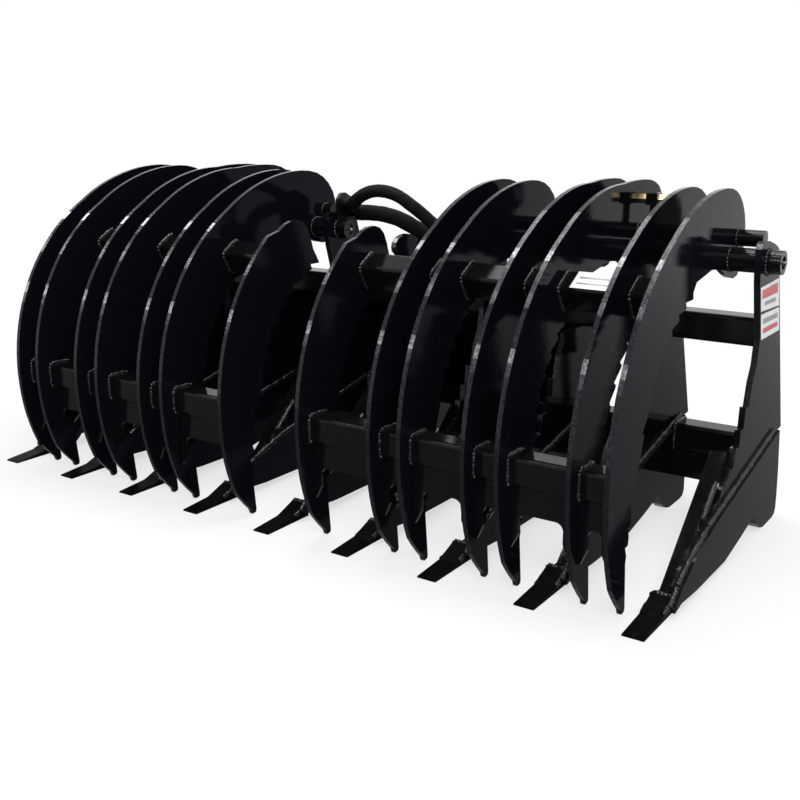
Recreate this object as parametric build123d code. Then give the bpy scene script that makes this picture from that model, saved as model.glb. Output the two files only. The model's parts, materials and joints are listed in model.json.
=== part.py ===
from build123d import *
import math
import os

os.makedirs("parts", exist_ok=True)

# All lengths in millimetres. X is the width, +Y the back, +Z up, ground at Z = 0.
# Side profiles are given as (Y, Z) measured from the chisel tips; Y_MID shifts them to the row's origin.
PITCH = 264.0
TINES = 9
FRONT_Y, REAR_Y = -19.1, 1088.2
Y_MID = (FRONT_Y + REAR_Y) / 2

# Tine cross section: strap bar, upright plate and heel plate side by side
STRAP_OUT, STRAP_IN = -26.0, 14.0
UPRIGHT_X0, UPRIGHT_X1 = 14.0, 30.0
HEEL_X1 = 44.0
CHISEL_HALF = 26.0

# Leaning rear plane and the attachment plate on it
LEAN = 0.3576
LEAN_Y0, LEAN_Z0 = 945.0, 248.0
ATTACH_W = 1143.0
ATTACH_T = 10.0
ATTACH_Z0, ATTACH_Z1 = 60.0, 498.0
SLOT_SPACING = 792.0
SLOT_LENGTH = 64.0
SLOT_R = 15.0
FLANGE_D = 84.0
FLANGE_T = 10.0

# Square tubes as (Y0, Y1, Z0, Z1)
MID_TUBE = (760.0, 836.0, 500.0, 576.0)
LOW_TUBE = (800.0, 876.0, 174.0, 250.0)
FRONT_LOW = (24.0, 94.0, 276.0, 346.0)
FRONT_UP_C = (290.5, 684.5)
FRONT_UP_S = 70.0
FRONT_UP_TILT = 30.6
TUBE_R = 9.0
TUBE_WALL = 6.0
CORNER_STEPS = 3

# Lid pivots
PIVOT = (678.0, 735.0)
PIN_R = 19.0
BUSH_CLEAR = 0.06
BUSH_PRESS = 0.05
BUSH_R = 25.0
HUB_R = 30.0
WELD_FIT = 0.15
HUB_GAP = 4.0
BOSS_R = 31.0
BOSS_L = 18.0
BUSH_L = 62.0
HEAD_L = 18.0
DISH_R = 17.0
DISH_D = 4.0
GREASER_R = 5.0
GREASER_OUT = 7.0

# Lid plates: pairs with their centre beside the middle of a gap between tines
LID_T = 12.0
PAIR_HALF = 44.35
PAIR_SHIFT = 24.0
ARC_C = (560.0, 330.0)
ARC_R = 580.0
ROUND_TUBE = (725.0, 784.0)
ROUND_R = 21.2

# Cylinders
LEVER_PIN = (830.0, 858.0)
ANCHOR_PIN = (960.0, 115.0)
CYL_PIN_R = 14.0
BARREL_R = 35.0
BORE_R = 28.5
ROD_R = 16.0
BORE_START, BARREL_END = 62.0, 460.0
PISTON_S, PISTON_T = 272.0, 34.0
GLAND_L, GLAND_CAP = 32.0, 16.0
EYE_T = 72.0
ROD_EYE_T = 76.0
LUG_IN, LUG_T = 40.0, 13.0
SLOT_TRAVEL = 26.3
SLOT_RISE = 2.5
SLOT_CLEAR = 1.0
CAP_R, CAP_T = 21.0, 7.0

# Hoses
OUTER_R = 20.0
INNER_R = 25.0
FIT_TOP = 590.0


def tine_x(t):
    """Row X of a tine's centre line."""
    return (t - (TINES - 1) / 2) * PITCH


def at(y, z):
    """Profile point in row coordinates."""
    return (y - Y_MID, z)


def lean_y(z):
    """Y of the leaning rear plane at height z."""
    return LEAN_Y0 - LEAN * (z - LEAN_Z0)


def slab(points, x0, x1):
    """Plate with a (Y, Z) outline that fills x0..x1."""
    outline = make_face(Polyline(*[at(y, z) for y, z in points], close=True))
    return extrude(Plane.YZ.offset(x0) * outline, amount=x1 - x0, dir=(1, 0, 0))


def rod(center, radius, x0, x1):
    """Round bar along X."""
    y, z = at(*center)
    bar = Cylinder(radius, x1 - x0, align=(Align.CENTER, Align.CENTER, Align.MIN))
    return Pos(x0, y, z) * (Rot(0, 90, 0) * bar)


def hexagon(center, radius, x0, x1):
    """Hexagon bar along X."""
    face = Plane.YZ.offset(x0) * (Pos(*at(*center)) * RegularPolygon(radius, 6))
    return extrude(face, amount=x1 - x0, dir=(1, 0, 0))


def ring(center, outer, inner, x0, x1):
    """Tube along X."""
    return rod(center, outer, x0, x1) - rod(center, inner, x0 - 1, x1 + 1)


def square_outline(width, height, radius):
    """Rectangle about the origin with each corner as a few short facets."""
    points = []
    for quarter, (sy, sz) in enumerate(((1, 1), (-1, 1), (-1, -1), (1, -1))):
        for k in range(CORNER_STEPS + 1):
            a = math.radians(90 * (quarter + k / CORNER_STEPS))
            points.append((sy * (width / 2 - radius) + radius * math.cos(a),
                           sz * (height / 2 - radius) + radius * math.sin(a)))
    return make_face(Polyline(*points, close=True))


def box_tube(y0, y1, z0, z1, x0, x1, tilt=0.0):
    """Square tube along X with rounded outer corners."""
    center = at((y0 + y1) / 2, (z0 + z1) / 2)
    skin = square_outline(y1 - y0, z1 - z0, TUBE_R)
    core = Rectangle(y1 - y0 - 2 * TUBE_WALL, z1 - z0 - 2 * TUBE_WALL)
    face = Plane.YZ.offset(x0) * (Pos(*center) * (Rot(0, 0, tilt) * (skin - core)))
    return extrude(face, amount=x1 - x0, dir=(1, 0, 0))


def save(name, shapes):
    """One node from one solid or a list of solids."""
    parts = shapes if isinstance(shapes, list) else [shapes]
    solids = [s for p in parts for s in p.solids()]
    node = solids[0] if len(solids) == 1 else Compound(children=solids)
    node.label = name
    export_step(node, "parts/" + name + ".step")


def stair(y0, z0, y1, z1, count, rise, ledge):
    """Saw steps along a sloping line: a steep rise, then a level ledge."""
    points = []
    for k in range(count):
        u = k / count
        y, z = y0 + (y1 - y0) * u, z0 + (z1 - z0) * u
        points += [(y, z), (y + 7, z + rise), (y + 7 + ledge, z + rise)]
    return points


# Lower jaw: upright saw-edged plates, heel plates, strap bars and chisels
FOOT = [(174, 24), (275, 19), (478, 18), (600, 41), (702, 63), (718, 49), (738, 28), (770, 8), (800, 0)]
FOOT_END = [(880, 0), (905, 4), (915, 18), (914, 57), (907, 127), (886, 243)]
STEPS = stair(200, 66, 487, 214, 6, 22, 22)
THROAT = [(525, 242), (538, 290), (562, 289), (566, 330), (587, 329), (592, 383), (618, 379), (632, 438), (654, 476)]
TALL = [(663, 539), (644, 610), (620, 690), (610, 745), (611, 772), (619, 784), (632, 789), (671, 787),
        (720, 775), (750, 765), (lean_y(757), 757)]
ROUND_TOP = [(663, 539), (644, 610), (622, 672), (600, 690), (596, 703), (600, 717), (613, 728), (635, 735), (662, 737),
             (688, 732), (711, 721), (729, 708), (743, 691), (752, 668), (lean_y(600), 600)]
front_edge = THROAT[::-1] + STEPS[::-1] + [(174, 60)]
low_plate = FOOT + FOOT_END + [(945, 248), (lean_y(500), 500), (661, 500)] + front_edge
round_plate = FOOT + FOOT_END + [(945, 248)] + ROUND_TOP[::-1] + front_edge
tall_plate = FOOT + FOOT_END + [(945, 248)] + TALL[::-1] + front_edge
heel_plate = ([(133, 16), (175, 25), (228, 21), (275, 18), (478, 17), (600, 40)] + FOOT[4:] + FOOT_END
              + [(884, 254), (687, 212), (366, 143), (244, 100), (174, 63), (133, 26)])
strap = [(172, 0), (224, 0), (528, 269.3), (514.7, 284.3), (221, 24), (172, 24)]
chisel = [(0, 0), (172, 0), (168, 38), (100, 12), (0, 4)]


def span(t, x0, x1):
    """X range beside tine t; the left side tine is the mirror image."""
    c = tine_x(t)
    return (c - x1, c - x0) if t == 0 else (c + x0, c + x1)


def pin_hole(x0, x1):
    """Bore for a welded pivot pin."""
    return rod(PIVOT, PIN_R + WELD_FIT, x0 - 1, x1 + 1)


tall_tines = {0: "side_plate_left", 3: "inner_upright_left", 5: "inner_upright_right", 8: "side_plate_right"}
ROUND_TINE = 4
for t, name in tall_tines.items():
    x0, x1 = span(t, UPRIGHT_X0, UPRIGHT_X1)
    save(name, slab(tall_plate, x0, x1) - pin_hole(x0, x1))

uprights = []
for t in range(TINES):
    if t not in tall_tines:
        uprights.append(slab(round_plate if t == ROUND_TINE else low_plate, *span(t, UPRIGHT_X0, UPRIGHT_X1)))
save("tine_uprights", uprights)
save("heel_plates", [slab(heel_plate, *span(t, UPRIGHT_X1, HEEL_X1)) for t in range(TINES)])
save("tine_bars", [slab(strap, *span(t, STRAP_OUT, STRAP_IN)) for t in range(TINES)])
save("tine_chisels", [slab(chisel, tine_x(t) - CHISEL_HALF, tine_x(t) + CHISEL_HALF) for t in range(TINES)])

# Cross members between the uprights
tall_x = [span(t, UPRIGHT_X0, UPRIGHT_X1) for t in sorted(tall_tines)]
stops = [span(t, UPRIGHT_X0, UPRIGHT_X1) for t in sorted([ROUND_TINE, *tall_tines])]
save("mid_cross_tube", [box_tube(*MID_TUBE, a[1], b[0]) for a, b in zip(stops, stops[1:])])
low_gaps = []
for t in range(TINES - 1):
    left = tine_x(0) - UPRIGHT_X0 if t == 0 else tine_x(t) + HEEL_X1
    low_gaps.append((left, tine_x(t + 1) + UPRIGHT_X0))
save("lower_cross_tube", [box_tube(*LOW_TUBE, a, b) for a, b in low_gaps])
lip_y, lip_top = LOW_TUBE[0] + 2, LOW_TUBE[2]
lip_plate = [(lip_y, 98), (lip_y + 10, 98), (lip_y + 10, lip_top), (lip_y, lip_top)]
save("lower_lip_plate", [slab(lip_plate, a, b) for a, b in low_gaps])


# Skid steer attachment plate on the leaning rear plane
def lean_pt(n, s):
    """Point n behind the leaning plane and s up along it from its foot."""
    k = math.hypot(1, LEAN)
    return (lean_y(ATTACH_Z0) + (n - s * LEAN) / k, ATTACH_Z0 + (n * LEAN + s) / k)


attach_s = (ATTACH_Z1 - ATTACH_Z0) * math.hypot(1, LEAN)
half = ATTACH_W / 2
plate = [lean_pt(0, 6), lean_pt(ATTACH_T, 10), lean_pt(ATTACH_T, attach_s), lean_pt(0, attach_s)]
save("attach_plate", slab(plate, -half, half))
hook = [lean_pt(0, attach_s), lean_pt(ATTACH_T, attach_s), lean_pt(50, attach_s + 8), lean_pt(50, attach_s - 22),
        lean_pt(60, attach_s - 22), lean_pt(60, attach_s + 16), lean_pt(52, attach_s + 22), lean_pt(0, attach_s + 12)]
save("attach_top_lip", slab(hook, -half, half))
foot_y0 = REAR_Y - FLANGE_D
foot_z = ATTACH_Z0 - 6
flange = slab([(foot_y0, foot_z), (REAR_Y, foot_z), (REAR_Y, foot_z + FLANGE_T), (foot_y0, foot_z + FLANGE_T)],
              -half, half)
slot_y = foot_y0 + 54
for side in (-1, 1):
    slot_place = Pos(side * SLOT_SPACING / 2, slot_y - Y_MID, ATTACH_Z0)
    flange = flange - slot_place * extrude(SlotOverall(SLOT_LENGTH, 2 * SLOT_R), 20, both=True)
save("attach_bottom_flange", flange)
rib_z = foot_z + FLANGE_T
rib = [(886, 243), (945, 248), (lean_y(rib_z + 4), rib_z + 4), (lean_y(rib_z + 4) - 3, rib_z),
       (914 - 7 * (rib_z - 57) / 70, rib_z), (907, 127)]
save("attach_ribs", [slab(rib, *span(t, UPRIGHT_X0, UPRIGHT_X1)) for t in range(2, 7)])

# Pivot bosses and pins: side plates outside, inner uprights on the side away from their lid
pin_sides = {
    "left": [(tall_x[0][0], -1), (tall_x[1][1], 1)],
    "right": [(tall_x[2][0], -1), (tall_x[3][1], 1)],
}
bosses = []
greasers = []
for side, faces in pin_sides.items():
    pins = []
    for face, out in faces:
        bosses.append(ring(PIVOT, BOSS_R, PIN_R + WELD_FIT, *sorted((face, face + out * BOSS_L))))
        head0 = face + out * BOSS_L
        head1 = head0 + out * HEAD_L
        tip = face - out * (UPRIGHT_X1 - UPRIGHT_X0 + HUB_GAP + BUSH_L - 4)
        shaft = rod(PIVOT, PIN_R, *sorted((head0, tip)))
        head = rod(PIVOT, BOSS_R - 1, *sorted((head0, head1)))
        dish = rod(PIVOT, DISH_R, *sorted((head1, head1 - out * DISH_D)))
        pins.append(shaft + (head - dish))
        greasers.append(hexagon(PIVOT, GREASER_R, *sorted((head1 - out * DISH_D, head1 + out * GREASER_OUT))))
    save("pivot_pins_" + side, pins)
save("pivot_bosses", bosses)
save("grease_fittings", greasers)


# Lids
RIM = [(213.6, 570), (205, 587), (195, 584), (185, 580), (160, 575.5), (140, 571), (120, 565), (105, 572), (97, 577),
       (85, 585)]
RIM_NOMINAL = 580.0
RIM_STEP = 3.2


def grown(points):
    """Points on the rear of a lid plate, moved out or in with the rim radius."""
    k = ARC_R / RIM_NOMINAL
    return [(ARC_C[0] + (y - ARC_C[0]) * k, ARC_C[1] + (z - ARC_C[1]) * k) for y, z in points]


def rim(last):
    """Outer edge of a lid plate from the tip to the angle last, in degrees."""
    points = []
    for (a0, r0), (a1, r1) in zip(RIM, RIM[1:]):
        count = max(1, round((a0 - a1) / RIM_STEP))
        for k in range(count):
            a = a0 + (a1 - a0) * k / count
            if a >= last:
                r = (r0 + (r1 - r0) * k / count) * ARC_R / RIM_NOMINAL
                points.append((ARC_C[0] + r * math.cos(math.radians(a)), ARC_C[1] + r * math.sin(math.radians(a))))
    return points


def saw_arc(a0, a1, count, r0, r1, depth):
    """Saw teeth along the inner arc, from angle a0 to a1 in degrees."""
    points = []
    for k in range(count):
        u = k / count
        a = math.radians(a0 + (a1 - a0) * u)
        r = r0 + (r1 - r0) * u
        for rr, da in ((r, 0.0), (r - depth, 0.006), (r - depth + 2, 0.03)):
            points.append((ARC_C[0] + rr * math.cos(a + da), ARC_C[1] + rr * math.sin(a + da)))
    return points


INNER = saw_arc(112, 176, 9, 384, 424, 15)
for k in range(4):
    INNER += [(128 - 8 * k, 300 - 45 * k), (112 - 8 * k, 298 - 45 * k), (122 - 8 * k, 275 - 45 * k)]
TIP = [(94, 125), (106, 12), (104, 4), (90, 2)]
HUB_UNDER = [(738, 686), (708, 682), (668, 690), (640, 700), (597, 719), (536, 724), (435, 708)]
PAIR_REAR = [(611, 913), (648, 910), (684, 902), (715, 888), (742, 867), (763, 840), (776, 808), (777, 772), (771, 735),
             (758, 704)]
LEVER_REAR = [(611, 913), (662, 917), (709, 918), (751, 917), (788, 914), (820, 907), (847, 896), (864, 881), (873, 862),
              (873, 843), (866, 826), (852, 815), (833, 811), (812, 805), (794, 787), (780, 750), (762, 706)]
TOP_FRONT = [(240, 776), (266, 791), (290, 798), (316, 799), (340, 792), (358, 776), (372, 748), (384, 712), (398, 690)]
pair_shape = rim(88) + grown(PAIR_REAR) + HUB_UNDER + INNER + TIP
lever_shape = rim(88) + grown(LEVER_REAR) + HUB_UNDER + INNER + TIP
single_shape = rim(128) + TOP_FRONT + INNER[2:] + TIP


def plate_holes(x0, x1, lever):
    """Bores through a pair plate: hub, round tube and, on the lever, the cylinder pin."""
    cut = rod(PIVOT, HUB_R + WELD_FIT, x0 - 1, x1 + 1) + rod(ROUND_TUBE, ROUND_R + WELD_FIT, x0 - 1, x1 + 1)
    if lever:
        cut = cut + rod(LEVER_PIN, CYL_PIN_R + WELD_FIT, x0 - 1, x1 + 1)
    return cut


def pair_x(gap):
    """X ranges of the two plates of the pair in a gap between tines."""
    c = tine_x(gap + 0.5) + PAIR_SHIFT
    return [(c - PAIR_HALF - LID_T, c - PAIR_HALF), (c + PAIR_HALF - LID_T, c + PAIR_HALF)]


WEB_Y, WEB_T = 36.0, 10.0
WEB_BOTTOM = 122.0
WEB_LEG, WEB_LEG_SHARE = 26.0, 0.28
WEB_R = 20.0


def web(x0, x1):
    """Arched web plate under the lower front tube, between two lid plates."""
    width = x1 - x0
    top = FRONT_LOW[2]
    leg = min(WEB_LEG, width * WEB_LEG_SHARE)
    hole = width - 2 * leg
    center = Pos((x0 + x1) / 2, (top + WEB_BOTTOM) / 2)
    arch = Pos(0, -65) * RectangleRounded(hole, 150, min(WEB_R, hole / 2 - 1))
    cut = arch
    for end, foot in ((-width / 2, leg), (width / 2, -leg)):
        cut = cut + make_face(Polyline((end, -90), (end + foot, -40), (end + foot, -90), close=True))
    face = Plane.XZ * (center * (Rectangle(width, top - WEB_BOTTOM) - cut))
    return Pos(0, WEB_Y - Y_MID, 0) * extrude(face, amount=WEB_T, dir=(0, 1, 0))


lids = {
    "left": {"single": 3, "inner": 2, "lever": 1, "outer": 0, "hub": (tall_x[0][1] + HUB_GAP, tall_x[1][0] - HUB_GAP)},
    "right": {"single": 4, "inner": 5, "lever": 6, "outer": 7, "hub": (tall_x[2][1] + HUB_GAP, tall_x[3][0] - HUB_GAP)},
}
ROUND_NEAR, ROUND_FAR = 6.0, 40.0
lever_x = {}
for side, lid in lids.items():
    plates = []
    for role in ("inner", "lever", "outer"):
        outline = lever_shape if role == "lever" else pair_shape
        ranges = pair_x(lid[role])
        plates += ranges
        save(role + "_pair_" + side, [slab(outline, a, b) - plate_holes(a, b, role == "lever") for a, b in ranges])
    c = tine_x(lid["single"] + 0.5) + PAIR_SHIFT
    single = (c - LID_T, c)
    save("single_plate_" + side, slab(single_shape, *single))
    plates = sorted(plates + [single])
    gaps = [(a[1], b[0]) for a, b in zip(plates, plates[1:])]
    save("lower_front_tube_" + side, [box_tube(*FRONT_LOW, a, b) for a, b in gaps])
    h = FRONT_UP_S / 2
    up = (FRONT_UP_C[0] - h, FRONT_UP_C[0] + h, FRONT_UP_C[1] - h, FRONT_UP_C[1] + h)
    save("upper_front_tube_" + side, [box_tube(*up, a, b, tilt=FRONT_UP_TILT) for a, b in gaps])
    save("web_plates_" + side, [web(a, b) for a, b in gaps])
    h0, h1 = lid["hub"]
    save("hub_tube_" + side, ring(PIVOT, HUB_R, BUSH_R, h0, h1))
    save("hub_bushes_" + side, [ring(PIVOT, BUSH_R - BUSH_PRESS, PIN_R + BUSH_CLEAR, h0, h0 + BUSH_L),
                                ring(PIVOT, BUSH_R - BUSH_PRESS, PIN_R + BUSH_CLEAR, h1 - BUSH_L, h1)])
    near, far = (ROUND_NEAR, ROUND_FAR) if side == "left" else (ROUND_FAR, ROUND_NEAR)
    save("round_tube_" + side, rod(ROUND_TUBE, ROUND_R, h0 + near, h1 - far))
    lever_x[side] = pair_x(lid["lever"])

# Cylinders between the lever plates and the anchor lugs behind the lower tube
dy, dz = ANCHOR_PIN[0] - LEVER_PIN[0], ANCHOR_PIN[1] - LEVER_PIN[1]
CYL_L = math.hypot(dy, dz)
uy, uz = dy / CYL_L, dz / CYL_L


def cyl(radius, s0, s1, x):
    """Round bar along the cylinder's axis, from s0 to s1 below the lever pin."""
    bar = Cylinder(radius, s1 - s0, align=(Align.CENTER, Align.CENTER, Align.MIN))
    y, z = at(LEVER_PIN[0] + uy * s0, LEVER_PIN[1] + uz * s0)
    return Plane(origin=(x, y, z), x_dir=(1, 0, 0), z_dir=(0, uy, uz)) * bar


def capped_pin(center, radius, x0, x1):
    """Pin along X with a round keeper plate on each end."""
    pin = rod(center, radius, x0, x1)
    return pin + rod(center, CAP_R, x0 - CAP_T, x0) + rod(center, CAP_R, x1, x1 + CAP_T)


slot_z = ANCHOR_PIN[1] + SLOT_RISE
slot_h = CYL_PIN_R + SLOT_RISE + SLOT_CLEAR
slot_ends = ((ANCHOR_PIN[0], slot_z), (ANCHOR_PIN[0] + SLOT_TRAVEL, slot_z))
slot = [(slot_ends[0][0], slot_z - slot_h), (slot_ends[1][0], slot_z - slot_h), (slot_ends[1][0], slot_z + slot_h),
        (slot_ends[0][0], slot_z + slot_h)]
LUG = [(876, 249), (890, 249), (988, 165), (1014, 144), (1023, 117), (1014, 91), (992, 78), (950, 74), (924, 82),
       (905, 98), (876, 160)]
# Port fitting beside the lever pair, standing on the round tube
PORT = (718.0, 870.0)
HEX_R, HEX_L = 14.0, 22.0
BLOCK_L, BLOCK_Y, BLOCK_Z = 31.0, 34.0, 30.0
LEG_R = 9.0
for side, ranges in lever_x.items():
    (out0, in0), (in1, out1) = ranges
    x = (in0 + in1) / 2
    eye = rod(LEVER_PIN, 30, x - EYE_T / 2, x + EYE_T / 2)
    barrel = cyl(BARREL_R, 22, BARREL_END, x) + eye
    barrel = barrel - cyl(BORE_R, BORE_START, BARREL_END + 1, x)
    save("cylinder_barrel_" + side, barrel - rod(LEVER_PIN, CYL_PIN_R + BUSH_CLEAR, x - EYE_T, x + EYE_T))
    gland = cyl(BORE_R - 0.1, BARREL_END - GLAND_L, BARREL_END, x)
    gland = gland + cyl(BARREL_R + 3, BARREL_END, BARREL_END + GLAND_CAP, x)
    save("cylinder_gland_" + side, gland - cyl(ROD_R + BUSH_CLEAR, BARREL_END - 40, BARREL_END + 30, x))
    rod_bar = cyl(ROD_R, PISTON_S, CYL_L - 20, x) + rod(ANCHOR_PIN, 28, x - ROD_EYE_T / 2, x + ROD_EYE_T / 2)
    save("piston_rod_" + side, rod_bar - rod(ANCHOR_PIN, CYL_PIN_R + WELD_FIT, x - ROD_EYE_T, x + ROD_EYE_T))
    piston = cyl(BORE_R - BUSH_CLEAR, PISTON_S, PISTON_S + PISTON_T, x)
    save("piston_" + side, piston - cyl(ROD_R, PISTON_S - 9, PISTON_S + PISTON_T + 9, x))
    save("lever_pin_" + side, capped_pin(LEVER_PIN, CYL_PIN_R, out0, out1))
    save("anchor_pin_" + side, capped_pin(ANCHOR_PIN, CYL_PIN_R, x - LUG_IN - LUG_T - 2, x + LUG_IN + LUG_T + 2))
    lugs = []
    for a, b in ((x - LUG_IN - LUG_T, x - LUG_IN), (x + LUG_IN, x + LUG_IN + LUG_T)):
        cut = slab(slot, a - 1, b + 1)
        for end in slot_ends:
            cut = cut + rod(end, slot_h, a - 1, b + 1)
        lugs.append(slab(LUG, a, b) - cut)
    save("anchor_lugs_" + side, lugs)
    y, z = at(*PORT)
    block_x = out1 + HEX_L + BLOCK_L / 2
    leg_h = PORT[1] - ROUND_TUBE[1]
    block = Pos(block_x, y, z) * Box(BLOCK_L, BLOCK_Y, BLOCK_Z)
    leg = Pos(block_x, y, z) * Cylinder(LEG_R, leg_h, align=(Align.CENTER, Align.CENTER, Align.MAX))
    save("port_block_" + side, block + (leg - rod(ROUND_TUBE, ROUND_R, block_x - 50, block_x + 50)))
    save("brass_plugs_" + side, [hexagon(PORT, HEX_R, out1, out1 + HEX_L),
                                 hexagon(PORT, HEX_R, out1 + HEX_L + BLOCK_L, out1 + 2 * HEX_L + BLOCK_L)])

# Hydraulic hoses from a bracket on the left inner upright down to the middle cross tube
BRACKET_T = 10.0
BRACKET = [(655, 768), (760, 768), (760, 806), (745, 822), (716, 834), (694, 845), (672, 845), (655, 828)]
bracket_x = tall_x[1][1]
hose_x = bracket_x + BRACKET_T + 30
end_x = tine_x(ROUND_TINE) + 68


def hose(points, radius):
    """Sleeved hose along straight runs joined by tangent arcs."""
    route = [Vector(x, *at(y, z)) for x, y, z in points]
    edges = []
    last = route[0]
    for before, corner, after in zip(route, route[1:], route[2:]):
        back, ahead = before - corner, after - corner
        reach = 0.45 * min(back.length, ahead.length)
        back, ahead = back.normalized(), ahead.normalized()
        start, end = corner + back * reach, corner + ahead * reach
        half_turn = (math.pi - math.radians(back.get_angle(ahead))) / 2
        bend = reach / math.tan(half_turn)
        middle = corner + (back + ahead).normalized() * (bend / math.cos(half_turn) - bend)
        edges += [Line(last, start), ThreePointArc(start, middle, end)]
        last = end
    edges.append(Line(last, route[-1]))
    line = Wire(edges)
    start = Plane(origin=line @ 0, z_dir=line % 0)
    return sweep(start * Circle(radius), path=line)


def elbow(points, radius, length, stub_r):
    """End fitting in line with a hose's first run, on a stub from the bracket."""
    first, second = [Vector(x, *at(y, z)) for x, y, z in points[:2]]
    way = (second - first).normalized()
    body = Plane(origin=first - way * length, z_dir=way) * Cylinder(
        radius, length, align=(Align.CENTER, Align.CENTER, Align.MIN))
    middle = first - way * (length / 2)
    stub = rod((middle.Y + Y_MID, middle.Z), stub_r, bracket_x + BRACKET_T, middle.X)
    return body + stub


outer_line = [(hose_x, 690, 812), (hose_x + 52, 674, 854), (hose_x + 156, 675, 860), (end_x - 20, 695, 802),
              (end_x + 54, 755, 715), (end_x + 72, 798, 646), (end_x + 72, 798, FIT_TOP)]
inner_line = [(hose_x, 735, 782), (hose_x + 78, 738, 786), (end_x - 89, 747, 758), (end_x - 19, 783, 700),
              (end_x, 798, 642), (end_x, 798, FIT_TOP)]
save("hose_outer", hose(outer_line, OUTER_R))
save("hose_inner", hose(inner_line, INNER_R))
fittings = [slab(BRACKET, bracket_x, bracket_x + BRACKET_T) + elbow(outer_line, OUTER_R - 1, 16, 11)
            + elbow(inner_line, INNER_R - 1, 14, 14)]
for x, y, z in (outer_line[-1], inner_line[-1]):
    height = z - MID_TUBE[3]
    fittings.append(Pos(x, y - Y_MID, MID_TUBE[3]) * extrude(RegularPolygon(INNER_R - 1, 6), height))
save("hose_fittings", fittings)
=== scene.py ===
"""Grapple bucket: finishes, weld beads, hoses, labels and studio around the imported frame."""

import json
import logging
import math
from dataclasses import dataclass, field
from enum import Enum

import bmesh
import bpy
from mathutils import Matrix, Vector, noise

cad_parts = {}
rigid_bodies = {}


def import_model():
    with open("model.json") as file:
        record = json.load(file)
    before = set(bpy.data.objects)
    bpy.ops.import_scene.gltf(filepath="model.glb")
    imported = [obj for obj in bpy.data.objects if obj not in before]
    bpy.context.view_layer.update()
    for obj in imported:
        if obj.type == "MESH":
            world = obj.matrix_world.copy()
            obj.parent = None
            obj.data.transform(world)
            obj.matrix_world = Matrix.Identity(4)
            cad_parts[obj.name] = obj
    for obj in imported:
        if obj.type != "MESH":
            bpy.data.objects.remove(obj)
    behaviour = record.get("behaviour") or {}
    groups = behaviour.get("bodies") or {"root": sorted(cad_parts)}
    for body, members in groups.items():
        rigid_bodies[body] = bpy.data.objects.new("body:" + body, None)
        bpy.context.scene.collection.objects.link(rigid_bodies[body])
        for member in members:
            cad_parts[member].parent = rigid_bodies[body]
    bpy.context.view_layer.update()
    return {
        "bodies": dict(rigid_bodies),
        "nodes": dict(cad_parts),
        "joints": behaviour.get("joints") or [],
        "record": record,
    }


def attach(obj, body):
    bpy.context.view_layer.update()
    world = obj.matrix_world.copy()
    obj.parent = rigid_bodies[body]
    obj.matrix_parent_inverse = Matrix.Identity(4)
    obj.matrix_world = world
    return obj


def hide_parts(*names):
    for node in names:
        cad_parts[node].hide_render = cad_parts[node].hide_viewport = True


LOG = logging.getLogger("grapple")
MM = 0.001

# Side profiles are measured from the chisel tips; MID_Y shifts them to the frame's origin
MID_Y = (-19.1 + 1088.2) / 2
PITCH = 264.0
TINES = 9
FRAME = "frame"

# Upper front tube of the lids: centre, width and turn, and the uprights' outer face
UP_CENTRE = (290.5, 684.5)
UP_SIZE = 70.0
UP_TILT = 30.6
UPRIGHT_OUTER = 30.0


def tine_x(tine: float) -> float:
    """Return the centre line of a tine, in millimetres."""
    return (tine - (TINES - 1) / 2) * PITCH


def point(x: float, y: float, z: float) -> Vector:
    """Turn a place in the side profiles' millimetres into frame metres.

    Args:
        x: Place along the width.
        y: Place from the chisel tips to the back.
        z: Height over the ground.

    Returns:
        The same place in metres, in the frame.
    """
    return Vector((x * MM, (y - MID_Y) * MM, z * MM))


class Side(Enum):
    """The two lids."""

    LEFT = "left"
    RIGHT = "right"


class Socket(Enum):
    """Kinds of sockets that the effect groups use."""

    COLOUR = "NodeSocketColor"
    VALUE = "NodeSocketFloat"


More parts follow.
